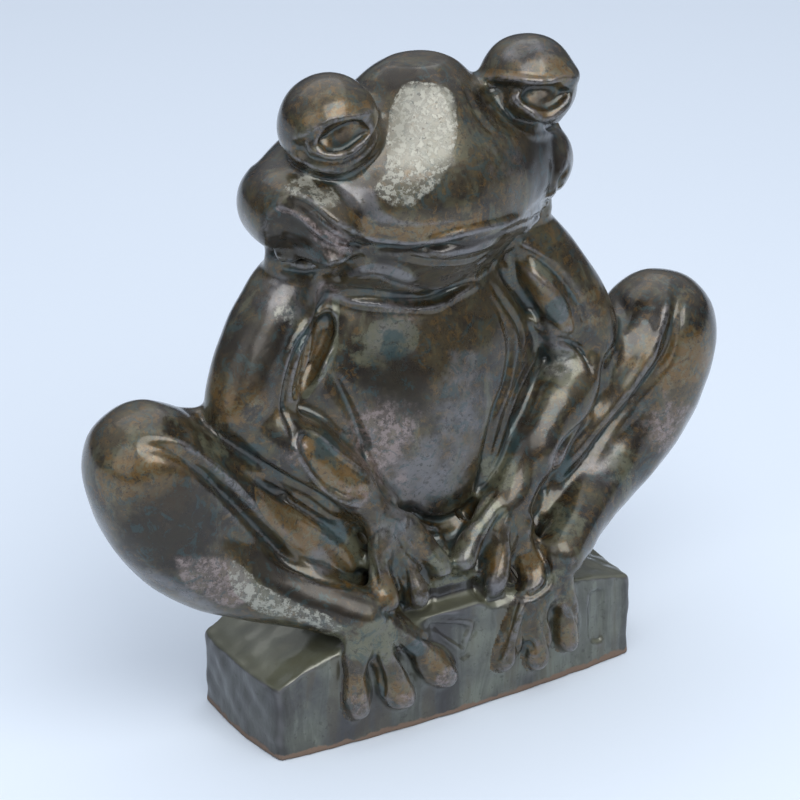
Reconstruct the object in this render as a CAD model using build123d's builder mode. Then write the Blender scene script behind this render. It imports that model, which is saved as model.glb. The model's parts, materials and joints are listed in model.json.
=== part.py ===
# A squatting frog of glazed pottery on a block plinth, in the pieces that a potter forms and lutes together.
# Millimetres, +Z up, the frog faces -Y. Left is the viewer's left, -X.
# The origin is the middle of the plinth's underside.
import os
from math import copysign, cos, radians, sin

from build123d import *

os.makedirs("parts", exist_ok=True)

# Driving dimensions
wall = 6.0
head_wall = 8.0
sides = {"left": -1, "right": 1}
# The left arm sits this much higher than the middle, the right one as much lower.
side_rise = {"left": 4.5, "right": -4.5}

# Plinth: a block with a low mound for a top and slightly swollen faces
plinth_length = 186.5
plinth_depth = 68.0
plinth_top = [(93.5, 40), (72, 46), (40, 51), (0, 53), (-40, 51), (-72, 45), (-93.5, 35)]
plinth_front_swell = 5.0
plinth_end_swell = 2.5
plinth_rounding = 3.0
floor_thickness = 7.0
floor_vent_at = 40.0
floor_vent_radius = 4.5
passage_radius = 12.0
# The passages between the plinth, the body and the head stand this far behind the middle.
passage_behind = 14.0

# Level sections: height, half width, where it is widest, front and back
torso_levels = [
    (40, 50, 8, -10, 34),
    (60, 54, 8, -13, 38),
    (85, 60, 8, -17, 42),
    (120, 68, 9, -24, 45),
    (155, 72, 10, -22, 45),
    (185, 64, 11, -13, 42),
    (204, 52, 12, -3, 37),
]
throat_levels = [
    (194, 42, 8, -14, 30),
    (205, 52, 8, -25, 32),
    (217, 63, 9, -37, 35),
    (229, 74, 11, -43, 37),
    (242, 78, 12, -45, 38),
    (262, 72, 12, -44, 36),
]
head_levels = [
    (214, 63, 9, -34, 34),
    (228, 75, 11, -45, 37),
    (241, 79, 12, -47, 38),
    (253, 75, 11, -45, 37),
    (264, 62, 9, -41, 35),
    (273, 45, 6, -35, 31),
    (282, 31, 3, -29, 26),
    (290, 22, 0, -22, 20),
    (296, 13, -1, -14, 11),
]
# Below 1 an outline's front is fuller than an ellipse, above 1 it is more pointed.
front_taper = 1.25
neck_radius = 10.0

# Larger than any of the forms, for the spaces that cut them
beyond = 100.0

# The mouth from the front: across, height. It runs level at the snout and curls up at the corners.
mouth_line = [
    (-beyond, 243),
    (-84, 250),
    (-70, 256),
    (-60, 248),
    (-47, 238),
    (-28, 232),
    (0, 230),
    (28, 231),
    (47, 233),
    (60, 237),
    (69, 249),
    (76, 260),
    (beyond, 262),
]
pouch_lines = {
    "left": [(-60, -22, 240), (-66, -4, 243), (-62, 10, 242)],
    "right": [(58, -6, 238), (63, 4, 239), (60, 13, 240)],
}
pouch_radii = {"left": [16, 18.5, 18], "right": [15, 17, 16]}

# Eyes
eye_centre = (49.6, -11.2, 279.0)
lid_radius = 21.5
lid_thickness = 5.0
eye_corner_left = 14.5
eye_corner_right = 9.5
eye_opening_up = 6.0
eye_opening_down = 6.5

# Limbs of one side, without the side's rise: points on the middle line and the radius at each
leg_rise = {"left": 0.0, "right": 2.5}
shin_line = [(133, 4, 139), (126, 2, 112), (110, -1, 91), (90, -9, 78), (70, -23, 69), (52, -37, 62)]
shin_radii = [27.5, 25.5, 22.5, 18.5, 14, 11.5]
knee_cap_angles = (25, 50, 72)
thigh_line = [(124, 1, 137), (105, 2, 121), (85, 2, 102), (66, -1, 84), (50, -6, 70)]
thigh_radii = [22, 22, 20.5, 18.5, 17]
upper_arm_line = [(60, 9, 203), (71, 6, 188), (83, 2, 169), (90, -1, 152)]
upper_arm_radii = [15, 16.5, 16.5, 15.5]
forearm_line = [(88, -2, 148), (73, -8, 133), (57, -14, 120), (43, -19, 106), (32, -24, 93)]
forearm_radii = [14, 15.5, 14.5, 12.5, 10.5]

# Pierced holes through the joints between two hollows, on one side
air_hole_radius = 2.5
air_holes = {
    "shoulder_hole": [(68, 7, 192), (30, 12, 176)],
    "hip_hole": [(58, 0, 78), (20, 8, 84)],
}

# Fingers and toes: each from the wrist or ankle to its tip, then the radii
fingers = {
    "left": [
        [(-34, -25, 99), (-40, -32, 84), (-39.5, -38, 66)],
        [(-33, -24, 100), (-27, -31, 82), (-24, -38, 64)],
        [(-31, -22, 101), (-18, -27, 88), (-9, -32, 73)],
    ],
    "right": [
        [(32, -24, 90), (37, -32, 73), (36.5, -37, 54)],
        [(30, -24, 90), (25, -32, 76), (17, -37, 59)],
        [(28, -23, 91), (14, -28, 82), (3, -33, 72)],
    ],
}
finger_radii = [7, 5, 5.2]
wrist = (31, -24, 94)
wrist_radius = 9.0
toes = {
    "left": [
        [(-53, -38, 61), (-58, -41, 42), (-57.5, -40, 20)],
        [(-50, -38, 60), (-43, -42, 38), (-34, -41, 19)],
        [(-47, -37, 60), (-29, -41, 44), (-12, -41, 23)],
    ],
    "right": [
        [(48, -38, 56), (53, -40, 38), (54, -40, 21)],
        [(45, -38, 56), (36, -41, 38), (37, -41, 17)],
        [(42, -37, 56), (27, -41, 42), (19, -40, 21)],
    ],
}
toe_radii = [7, 5.5, 6]
ankle = (50, -37, 60)
ankle_radius = 9.5


def on_side(point, side, rise=0.0):
    return (sides[side] * point[0], point[1], point[2] + rise)


# A round bar along a smooth line, with its radius at each point and round ends.
# The cap angles say where the rings of a round end stand on it.
def round_bar(points, radii, cap_angles=(30, 60)):
    with BuildLine() as route:
        Spline(*points)
    line = route.edge()
    stations = []
    for point, radius in zip(points, radii):
        along = line.tangent_at(line.param_at_point(point))
        stations.append((Vector(point), along, radius))
    start, start_along, start_radius = stations[0]
    end, end_along, end_radius = stations[-1]
    for angle in cap_angles:
        reach = sin(radians(angle))
        girth = cos(radians(angle))
        stations.insert(0, (start - start_along * start_radius * reach, start_along, start_radius * girth))
        stations.append((end + end_along * end_radius * reach, end_along, end_radius * girth))
    with BuildPart() as bar:
        rings = []
        for centre, along, radius in stations:
            with BuildSketch(Plane(centre, x_dir=(0, 1, 0), z_dir=along), mode=Mode.PRIVATE) as ring:
                Circle(radius)
            rings.append(ring.sketch)
        first_tip = Vertex(*(start - start_along * start_radius))
        last_tip = Vertex(*(end + end_along * end_radius))
        loft([first_tip] + rings + [last_tip])
    return bar.part


# A closed form through level outlines, or its hollow at a given inset.
def level_form(levels, inset=0.0):
    with BuildPart() as form:
        for height, half_width, widest, front, back in levels:
            outline = []
            for angle in range(0, 360, 30):
                across = cos(radians(angle))
                along = sin(radians(angle))
                if along < 0:
                    depth = widest - front
                    across = copysign(abs(across) ** front_taper, across)
                    along = -(abs(along) ** front_taper)
                else:
                    depth = back - widest
                outline.append(((half_width - inset) * across, widest + (depth - inset) * along))
            with BuildSketch(Plane.XY.offset(height)):
                with BuildLine():
                    Spline(*outline, periodic=True)
                make_face()
        loft()
    return form.part


# A small hole pierced between two hollows, so that air leaves in the firing.
def air_hole(start, end):
    axis = Vector(end) - Vector(start)
    with BuildPart() as hole:
        with BuildSketch(Plane(start, z_dir=axis)):
            Circle(air_hole_radius)
        extrude(amount=axis.length)
    return hole.part


def biggest(part):
    return part.solids().sort_by(SortBy.VOLUME)[-1]


# The plinth's block, or its hollow at a given inset, which runs down to the underside.
def block_form(inset=0.0):
    half_length = plinth_length / 2 - inset
    half_depth = plinth_depth / 2 - inset
    with BuildPart() as block:
        with BuildSketch(Plane.XY) as plan:
            with BuildLine():
                front = ThreePointArc(
                    (-half_length, -half_depth),
                    (0, -half_depth - plinth_front_swell),
                    (half_length, -half_depth),
                )
                right = ThreePointArc(
                    front @ 1, (half_length + plinth_end_swell, 0), (half_length, half_depth)
                )
                back = Line(right @ 1, (-half_length, half_depth))
                ThreePointArc(back @ 1, (-half_length - plinth_end_swell, 0), front @ 0)
            make_face()
            fillet(plan.vertices(), plinth_rounding)
        extrude(amount=beyond)
        with BuildSketch(Plane.XZ):
            with BuildLine():
                top = Spline(*[(across, height - inset) for across, height in plinth_top])
                left_edge = Line(top @ 1, (-beyond, (top @ 1).Y))
                right_edge = Line(top @ 0, (beyond, (top @ 0).Y))
                Polyline(left_edge @ 1, (-beyond, 0), (beyond, 0), right_edge @ 1)
            make_face()
        extrude(amount=plinth_depth, both=True, mode=Mode.INTERSECT)
    return block.part


# Forms

plinth_block = block_form()
plinth_hollow = block_form(wall)
torso_skin = level_form(torso_levels)
torso_hollow = level_form(torso_levels, wall)
throat_skin = level_form(throat_levels)
head_skin = level_form(head_levels)
throat_hollow = level_form(throat_levels, head_wall)

with BuildPart() as neck_passage:
    with BuildSketch(Plane((0, passage_behind, torso_levels[-1][0]))):
        Circle(neck_radius)
    extrude(amount=3 * wall, both=True)

with BuildPart() as head_hollow:
    add(level_form(head_levels[:-1], head_wall))
    for side in sides:
        with Locations(on_side(eye_centre, side)):
            Sphere(lid_radius + wall, mode=Mode.SUBTRACT)

# The space above the mouth line, which parts the head from the lower jaw.
with BuildPart() as above_mouth:
    with BuildSketch(Plane.XZ):
        with BuildLine():
            lip = Spline(*mouth_line)
            above = head_levels[-1][0] + beyond
            Polyline(lip @ 1, (beyond, above), (-beyond, above), lip @ 0)
        make_face()
    extrude(amount=beyond, both=True)

skins = {}
for side in sides:
    rise = side_rise[side]
    shin = [on_side(point, side, leg_rise[side]) for point in shin_line]
    thigh = [on_side(point, side, leg_rise[side]) for point in thigh_line]
    # The rise grows from nothing at the shoulder to the whole at the elbow.
    shares = [index / (len(upper_arm_line) - 1) for index in range(len(upper_arm_line))]
    upper_arm = [on_side(point, side, rise * share) for point, share in zip(upper_arm_line, shares)]
    forearm = [on_side(point, side, rise) for point in forearm_line]
    skins[side, "shin"] = round_bar(shin, shin_radii, knee_cap_angles)
    skins[side, "thigh"] = round_bar(thigh, thigh_radii)
    skins[side, "upper_arm"] = round_bar(upper_arm, upper_arm_radii)
    skins[side, "forearm"] = round_bar(forearm, forearm_radii)
    skins[side, "shin_hollow"] = round_bar(shin[:4], [radius - wall for radius in shin_radii[:4]])
    skins[side, "thigh_hollow"] = round_bar(thigh, [radius - wall for radius in thigh_radii])
    arm_hollow_radii = [radius - wall for radius in upper_arm_radii[:3]]
    skins[side, "upper_arm_hollow"] = round_bar(upper_arm[:3], arm_hollow_radii)
    with BuildPart() as hand_form:
        with Locations(on_side(wrist, side, rise)):
            Sphere(wrist_radius)
        for finger in fingers[side]:
            add(round_bar(finger, finger_radii))
    skins[side, "hand"] = hand_form.part
    with BuildPart() as foot_form:
        with Locations(on_side(ankle, side)):
            Sphere(ankle_radius)
        for toe in toes[side]:
            add(round_bar(toe, toe_radii))
    skins[side, "foot"] = foot_form.part
    skins[side, "pouch"] = round_bar(pouch_lines[side], pouch_radii[side])
    for joint, (start, end) in air_holes.items():
        skins[side, joint] = air_hole(on_side(start, side), on_side(end, side))

# The eye's opening from the front: an almond between two corners.
with BuildPart() as eye_opening:
    with BuildSketch(Plane.XZ):
        with BuildLine():
            middle = (eye_corner_right - eye_corner_left) / 2
            corner = (-eye_corner_left, 0)
            upper_edge = ThreePointArc(corner, (middle, eye_opening_up), (eye_corner_right, 0))
            ThreePointArc(upper_edge @ 1, (middle, -eye_opening_down), upper_edge @ 0)
        make_face()
    extrude(amount=2 * lid_radius)

# Pieces

with BuildPart() as plinth:
    add(plinth_block)
    add(plinth_hollow, mode=Mode.SUBTRACT)
    with BuildSketch(Plane((0, passage_behind, floor_thickness))):
        Circle(passage_radius)
    extrude(amount=beyond, mode=Mode.SUBTRACT)
plinth.part.label = "plinth"
export_step(plinth.part, "parts/plinth.step")

with BuildPart() as plinth_floor:
    add(plinth_hollow)
    split(bisect_by=Plane.XY.offset(floor_thickness), keep=Keep.BOTTOM)
    with BuildSketch(Plane.XY):
        with Locations((floor_vent_at, 0)):
            Circle(floor_vent_radius)
    extrude(amount=floor_thickness, mode=Mode.SUBTRACT)
plinth_floor.part.label = "plinth_floor"
export_step(plinth_floor.part, "parts/plinth_floor.step")

with BuildPart() as torso:
    add(torso_skin)
    add(torso_hollow, mode=Mode.SUBTRACT)
    add(neck_passage.part, mode=Mode.SUBTRACT)
    add(plinth_block, mode=Mode.SUBTRACT)
    for side in sides:
        add([skins[side, "shoulder_hole"], skins[side, "hip_hole"]], mode=Mode.SUBTRACT)
torso.part.label = "torso"
export_step(torso.part, "parts/torso.step")

with BuildPart() as lower_jaw:
    add(throat_skin)
    add([skins[side, "pouch"] for side in sides])
    add([above_mouth.part, throat_hollow, neck_passage.part, torso_skin], mode=Mode.SUBTRACT)
lower_jaw.part.label = "lower_jaw"
export_step(lower_jaw.part, "parts/lower_jaw.step")

with BuildPart() as head:
    add(head_skin)
    add([skins[side, "pouch"] for side in sides])
    add(above_mouth.part, mode=Mode.INTERSECT)
    add(head_hollow.part, mode=Mode.SUBTRACT)
    for side in sides:
        with Locations(on_side(eye_centre, side)):
            Sphere(lid_radius, mode=Mode.SUBTRACT)
    add(biggest(head.part), mode=Mode.REPLACE)
head.part.label = "head"
export_step(head.part, "parts/head.step")

for side in sides:
    centre = on_side(eye_centre, side)
    with BuildPart() as eyeball:
        with Locations(centre):
            Sphere(lid_radius - lid_thickness)
    eyeball.part.label = side + "_eyeball"

    with BuildPart() as eyelids:
        with Locations(centre):
            Sphere(lid_radius)
            Sphere(lid_radius - lid_thickness, mode=Mode.SUBTRACT)
        add(eye_opening.part.moved(Location(centre)), mode=Mode.SUBTRACT)

    with BuildPart() as upper_eyelid:
        add(eyelids.part)
        split(bisect_by=Plane.XY.offset(eye_centre[2]), keep=Keep.TOP)
    upper_eyelid.part.label = side + "_upper_eyelid"

    with BuildPart() as lower_eyelid:
        add(eyelids.part)
        split(bisect_by=Plane.XY.offset(eye_centre[2]), keep=Keep.BOTTOM)
    lower_eyelid.part.label = side + "_lower_eyelid"

    for piece in (eyeball, upper_eyelid, lower_eyelid):
        export_step(piece.part, "parts/" + piece.part.label + ".step")

for side in sides:
    with BuildPart() as shin:
        add(skins[side, "shin"])
        add(skins[side, "shin_hollow"], mode=Mode.SUBTRACT)
        add([plinth_block, torso_skin], mode=Mode.SUBTRACT)
        add(biggest(shin.part), mode=Mode.REPLACE)
    shin.part.label = side + "_shin"

    with BuildPart() as thigh:
        add(skins[side, "thigh"])
        add([skins[side, "thigh_hollow"], skins[side, "hip_hole"]], mode=Mode.SUBTRACT)
        add([plinth_block, torso_skin, skins[side, "shin"]], mode=Mode.SUBTRACT)
        add(biggest(thigh.part), mode=Mode.REPLACE)
    thigh.part.label = side + "_thigh"

    with BuildPart() as upper_arm:
        add(skins[side, "upper_arm"])
        add([skins[side, "upper_arm_hollow"], skins[side, "shoulder_hole"]], mode=Mode.SUBTRACT)
        add([torso_skin, throat_skin, head_skin, skins[side, "pouch"]], mode=Mode.SUBTRACT)
        add([skins[side, "thigh"], skins[side, "shin"]], mode=Mode.SUBTRACT)
        add(biggest(upper_arm.part), mode=Mode.REPLACE)
    upper_arm.part.label = side + "_upper_arm"

    with BuildPart() as forearm:
        add(skins[side, "forearm"])
        add([skins[side, "upper_arm"], skins[side, "thigh"], skins[side, "shin"]], mode=Mode.SUBTRACT)
        add(torso_skin, mode=Mode.SUBTRACT)
        add(biggest(forearm.part), mode=Mode.REPLACE)
    forearm.part.label = side + "_forearm"

    with BuildPart() as hand:
        add(skins[side, "hand"])
        add([skins[side, "forearm"], skins[side, "thigh"], skins[side, "shin"]], mode=Mode.SUBTRACT)
        add([torso_skin, plinth_block], mode=Mode.SUBTRACT)
        add(biggest(hand.part), mode=Mode.REPLACE)
    hand.part.label = side + "_hand"

    with BuildPart() as foot:
        add(skins[side, "foot"])
        add([skins[side, "shin"], plinth_block, skins[side, "hand"], torso_skin], mode=Mode.SUBTRACT)
        add(biggest(foot.part), mode=Mode.REPLACE)
    foot.part.label = side + "_foot"

    for piece in (shin, thigh, upper_arm, forearm, hand, foot):
        export_step(piece.part, "parts/" + piece.part.label + ".step")
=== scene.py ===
import json
import math

import bpy
import numpy as np
from mathutils import Matrix, Vector
from mathutils.bvhtree import BVHTree

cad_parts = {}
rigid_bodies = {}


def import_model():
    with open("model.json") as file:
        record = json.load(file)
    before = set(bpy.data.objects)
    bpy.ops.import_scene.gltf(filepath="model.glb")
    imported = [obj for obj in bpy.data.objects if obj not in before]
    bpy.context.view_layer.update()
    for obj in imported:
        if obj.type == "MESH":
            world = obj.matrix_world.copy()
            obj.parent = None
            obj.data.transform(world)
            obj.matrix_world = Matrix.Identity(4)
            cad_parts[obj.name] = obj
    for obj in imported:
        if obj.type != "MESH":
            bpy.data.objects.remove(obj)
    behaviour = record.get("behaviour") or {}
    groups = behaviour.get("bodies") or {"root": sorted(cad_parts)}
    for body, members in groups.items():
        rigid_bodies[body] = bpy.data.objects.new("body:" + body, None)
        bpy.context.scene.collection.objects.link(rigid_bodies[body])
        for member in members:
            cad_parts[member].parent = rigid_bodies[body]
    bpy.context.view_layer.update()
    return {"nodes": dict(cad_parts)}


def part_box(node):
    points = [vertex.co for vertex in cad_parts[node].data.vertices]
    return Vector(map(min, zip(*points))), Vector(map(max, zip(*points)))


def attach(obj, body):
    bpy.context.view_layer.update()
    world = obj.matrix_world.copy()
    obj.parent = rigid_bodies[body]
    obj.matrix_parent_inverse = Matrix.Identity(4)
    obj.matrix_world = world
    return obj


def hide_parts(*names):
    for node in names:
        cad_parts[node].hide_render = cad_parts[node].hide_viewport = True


# A squatting frog of glazed pottery. Lengths in the settings are millimetres, the meshes are metres.
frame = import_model()
metre = 0.001


def deselect():
    bpy.ops.object.select_all(action="DESELECT")


def pick(piece):
    deselect()
    piece.select_set(True)
    bpy.context.view_layer.objects.active = piece


# Camera
camera = {
    "lookAt": (-1.26, 13.0, 133.6),
    "distance": 1433.2,
    "heading": 31.6,
    "height": 23.81,
    "roll": -0.56,
    "lens": 144.85,
    "sensor": 36.0,
    "picture": 800,
}


def cameraAxes():
    heading = math.radians(camera["heading"])
    height = math.radians(camera["height"])
    roll = math.radians(camera["roll"])
    flat = math.cos(height)
    back = Vector((-math.sin(heading) * flat, -math.cos(heading) * flat, math.sin(height)))
    level = Vector((math.cos(heading), -math.sin(heading), 0))
    upright = back.cross(level)
    right = level * math.cos(roll) + upright * math.sin(roll)
    up = upright * math.cos(roll) - level * math.sin(roll)
    return right, up, back


def setCamera():
    right, up, back = cameraAxes()
    spot = Vector(camera["lookAt"]) + back * camera["distance"]
    bpy.ops.object.camera_add(location=spot * metre)
    seen = bpy.context.object
    turn = Matrix((right, up, back)).transposed().to_4x4()
    seen.matrix_world = Matrix.Translation(spot * metre) @ turn
    seen.data.lens = camera["lens"]
    seen.data.sensor_width = camera["sensor"]
    seen.data.clip_end = 20
    bpy.context.scene.camera = seen


setCamera()
print("camera set")


# One property of many points, edges or faces, a row for each
def pull(items, key, count, kind=float):
    flat = np.empty(len(items) * count, kind)
    items.foreach_get(key, flat)
    return flat.reshape(-1, count)


def unit(values):
    return np.clip(values, 0, 1)


def unitRows(rows):
    return rows / np.maximum(np.linalg.norm(rows, axis=1), 1e-9)[:, None]


# The edge that the figure stands on stays crisp: smoothing starts at this height, over this many mm.
standing = {"edge": 2, "fade": 4}
# How many widths a stroke reaches, and how its ends run out
tool = {"reach": 2.6, "taper": 0.7}
# How far behind its outline's own depth a shape still counts, in mm, and how far it may turn away
behind = {"depth": 30, "turned": -0.1}


# Clay, in millimetres: the skin's points with the strokes that shape them
class Clay:
    def __init__(self, piece):
        mesh = piece.data
        self.piece = piece
        self.size = len(mesh.vertices)
        self.at = pull(mesh.vertices, "co", 3) / metre
        self.edges = pull(mesh.edges, "vertices", 2, int)
        self.neighbours = np.bincount(self.edges.ravel(), minlength=self.size)
        self.faces = pull(mesh.polygons, "vertices", 4, int)
        self.look()

    # The surface as it is now: its normals, and a tree for the sight lines
    def look(self):
        self.normals = self.faceOut()
        self.tree = None

    def faceOut(self):
        corners = self.at[self.faces]
        across = np.cross(corners[:, 2] - corners[:, 0], corners[:, 3] - corners[:, 1])
        total = np.empty_like(self.at)
        for axis in range(3):
            spread = np.repeat(across[:, axis], 4)
            total[:, axis] = np.bincount(self.faces.ravel(), spread, self.size)
        return unitRows(total)

    def average(self, values):
        first, second = self.edges.T
        found = np.empty_like(values)
        for column in range(values.shape[1]):
            found[:, column] = np.bincount(first, values[second, column], self.size)
            found[:, column] += np.bincount(second, values[first, column], self.size)
        return found / self.neighbours[:, None]

    def smooth(self, times, share=0.5, where=None):
        weight = share * unit((self.at[:, 2:] - standing["edge"]) / standing["fade"])
        if where is not None:
            weight = weight * where[:, None]
        for _ in range(times):
            self.at += (self.average(self.at) - self.at) * weight
        self.look()

    # Fills the inner corners without wearing down the edges
    def fillCorners(self, times, share=1.0, where=None):
        lift = np.maximum(self.hollowness(times), 0) * share
        if where is not None:
            lift = lift * where
        self.at += self.normals * lift[:, None]
        self.look()

    # Deepens what is hollow and raises what stands out
    def sharpen(self, times, share):
        self.at -= self.normals * (self.hollowness(times) * share)[:, None]
        self.look()

    # How far each point lies below the smoothed surface
    def hollowness(self, times):
        soft = self.at.copy()
        for _ in range(times):
            soft += (self.average(soft) - soft) * 0.5
        return ((soft - self.at) * self.normals).sum(1)

    def softNormals(self, times):
        found = self.normals.copy()
        for _ in range(times):
            found = self.average(found)
        return unitRows(found)

    # Where the sight line through a point of the picture meets the clay
    def seen(self, spots):
        if self.tree is None:
            self.tree = BVHTree.FromPolygons(self.at.tolist(), self.faces.tolist())
        right, up, back = cameraAxes()
        start = Vector(camera["lookAt"]) + back * camera["distance"]
        focus = camera["lens"] / camera["sensor"] * camera["picture"]
        middle = camera["picture"] / 2
        found = []
        for across, down in spots:
            sight = right * (across - middle) + up * (middle - down) - back * focus
            hit = self.tree.ray_cast(start, sight.normalized())[0]
            if hit is not None:
                found.append(tuple(hit))
        return found

    # A soft mask round a point of the picture: 1 near it, 0 beyond the reach
    def around(self, spot, reach):
        found = self.seen([spot])
        away = np.linalg.norm(self.at - np.array(found[0]), axis=1)
        return unit(2 * (1 - away / reach))

    # The points near a smooth line, their distance from it, and how far along it they lie
    def measure(self, line, reach):
        line = smoothLine(line)
        low, high = line.min(0) - reach, line.max(0) + reach
        near = np.flatnonzero(((self.at > low) & (self.at < high)).all(1))
        best = np.full(len(near), 1e9)
        along = np.zeros(len(near))
        lengths = np.linalg.norm(np.diff(line, axis=0), axis=1)
        start = np.concatenate(([0], np.cumsum(lengths)))
        points = self.at[near]
        for index, length in enumerate(lengths):
            step = (line[index + 1] - line[index]) / length
            offset = points - line[index]
            part = np.clip(offset @ step, 0, length)
            gap = offset - part[:, None] * step
            away = np.linalg.norm(gap, axis=1)
            closer = away < best
            best[closer] = away[closer]
            along[closer] = (start[index] + part[closer]) / start[-1]
        kept = best < reach
        return near[kept], best[kept], along[kept]

    # A groove (lift below 0) or a roll of clay (above 0) along a line, thinner towards its ends
    def stroke(self, line, width, lift, ends=0.2):
        if len(line) < 2:
            return
        near, away, along = self.measure(line, width * tool["reach"])
        shape = np.exp(-((away / width) ** 2.0))
        shape = shape * unit(np.minimum(along, 1 - along) / ends) ** tool["taper"]
        self.at[near] += self.normals[near] * (lift * shape)[:, None]

    # Where each point stands in the picture
    def pictured(self):
        right, up, back = (np.array(axis) for axis in cameraAxes())
        offset = self.at - (np.array(camera["lookAt"]) + back * camera["distance"])
        scale = camera["lens"] / camera["sensor"] * camera["picture"] / -(offset @ back)
        middle = camera["picture"] / 2
        return np.stack((middle + offset @ right * scale, middle - offset @ up * scale), 1)

    # How far each point on the near side lies inside an outline of the picture, 0 to 1 over its border
    def inside(self, outline, border):
        outline = smoothLine(list(outline) + [outline[0]])
        spots = self.pictured()
        found = self.seen([tuple(outline.mean(0))] + [tuple(spot) for spot in outline[::6]])
        centre = np.array(found).mean(0)
        low, high = outline.min(0), outline.max(0)
        chosen = ((spots > low) & (spots < high)).all(1)
        back = np.array(cameraAxes()[2])
        chosen &= np.abs((self.at - centre) @ back) < behind["depth"]
        chosen &= self.normals @ back > behind["turned"]
        near = np.flatnonzero(chosen)
        away = np.full(len(near), 1e9)
        crossings = np.zeros(len(near), int)
        across, down = spots[near].T
        for first, last in zip(outline[:-1], outline[1:]):
            step = last - first
            reached = (across - first[0]) * step[0] + (down - first[1]) * step[1]
            part = unit(reached / (step @ step))
            gap = np.hypot(across - first[0] - part * step[0], down - first[1] - part * step[1])
            away = np.minimum(away, gap)
            if first[1] != last[1]:
                cut = first[0] + (down - first[1]) / step[1] * step[0]
                crossings += ((first[1] > down) != (last[1] > down)) & (across < cut)
        share = np.zeros(self.size)
        inner = crossings % 2 == 1
        share[near[inner]] = unit(away[inner] / border)
        return share * share * (3 - 2 * share)

    # Presses an outline in (lift below 0) or builds it up, with a border of some points of the picture
    def press(self, outline, lift, border):
        share = self.inside(outline, border)
        self.at += self.normals * (lift * share)[:, None]

    # Slow waves in the surface, as hands leave them
    def waves(self, length, lift, where=1.0):
        total = np.zeros(self.size)
        for turn in ((1, 0.4, 0.3), (-0.3, 1, 0.5), (0.5, -0.4, 1), (0.8, 0.7, -0.6)):
            total += np.sin(self.at @ np.array(turn) * (2 * math.pi / length) + turn[1] * 7)
        self.at += self.normals * (total * lift / 2 * where)[:, None]

    # A swelling with a soft border
    def swell(self, centre, radius, lift):
        away = np.linalg.norm((self.at - np.array(centre)) / np.array(radius), axis=1)
        self.at += self.normals * (lift * np.exp(-(away ** 2.0)))[:, None]

    def save(self):
        self.piece.data.vertices.foreach_set("co", (self.at * metre).ravel())
        self.piece.data.update()


def smoothLine(points, steps=8):
    points = np.array(points, float)
    if len(points) < 3:
        return points
    padded = np.vstack((2 * points[0] - points[1], points, 2 * points[-1] - points[-2]))
    line = []
    for index in range(len(points) - 1):
        a, b, c, d = padded[index:index + 4]
        for part in np.arange(steps) / steps:
            line.append(0.5 * (2 * b + (c - a) * part + (2 * a - 5 * b + 4 * c - d) * part ** 2
                               + (3 * b - a - 3 * c + d) * part ** 3))
    line.append(points[-1])
    return np.array(line)


# Extra clay that goes on before the pieces are luted together
heap = []


def roll(points, radii):
    curve = bpy.data.curves.new("roll", "CURVE")
    curve.dimensions = "3D"
    curve.bevel_depth = metre
    curve.bevel_resolution = 5
    curve.use_fill_caps = True
    spline = curve.splines.new("NURBS")
    spline.points.add(len(points) - 1)
    for knot, point, radius in zip(spline.points, points, radii):
        knot.co = (*(Vector(point) * metre), 1)
        knot.radius = radius
    spline.order_u = 3
    spline.use_endpoint_u = True
    spline.resolution_u = 10
    piece = bpy.data.objects.new("roll", curve)
    bpy.context.collection.objects.link(piece)
    pick(piece)
    bpy.ops.object.convert(target="MESH")
    heap.append(bpy.context.object)


def ball(centre, size, turn=(0, 0, 0)):
    bpy.ops.mesh.primitive_uv_sphere_add(segments=48, ring_count=24, radius=metre,
                                         location=Vector(centre) * metre, rotation=turn)
    piece = bpy.context.object
    piece.scale = size
    bpy.ops.object.transform_apply(location=True, rotation=True, scale=True)
    heap.append(piece)


# Closes the vent hole while the pieces are fused
ventPlug = {"at": (40, 0, 3), "size": (7, 7, 7)}
ball(ventPlug["at"], ventPlug["size"])

# The digits are flat and leaf-shaped: tip, root, half width and half thickness of each
digits = [
    ((-57.5, -39, 13.5), (-58, -40, 40), 7.5, 5.5),
    ((-35.5, -41, 13.5), (-43, -41, 40), 8, 6),
    ((-13, -41, 18.5), (-28, -40, 44), 8, 6),
    ((55, -39, 17), (53, -40, 40), 7, 5.5),
    ((37.5, -41, 13), (37, -41, 40), 7, 6),
    ((18, -40, 17), (27, -41, 42), 7, 6),
    ((-40, -36, 57), (-40, -31, 86), 6.5, 5.5),
    ((-23.5, -36, 57), (-28, -30, 84), 6.5, 5.5),
    ((-7, -31, 68), (-24, -26, 94), 7.5, 5.5),
    ((37, -35, 49), (37, -31, 76), 6.5, 5.5),
    ((16, -35, 52), (26, -31, 78), 6.5, 5.5),
    ((0, -30, 68), (20, -26, 88), 7, 5.5),
]
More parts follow.
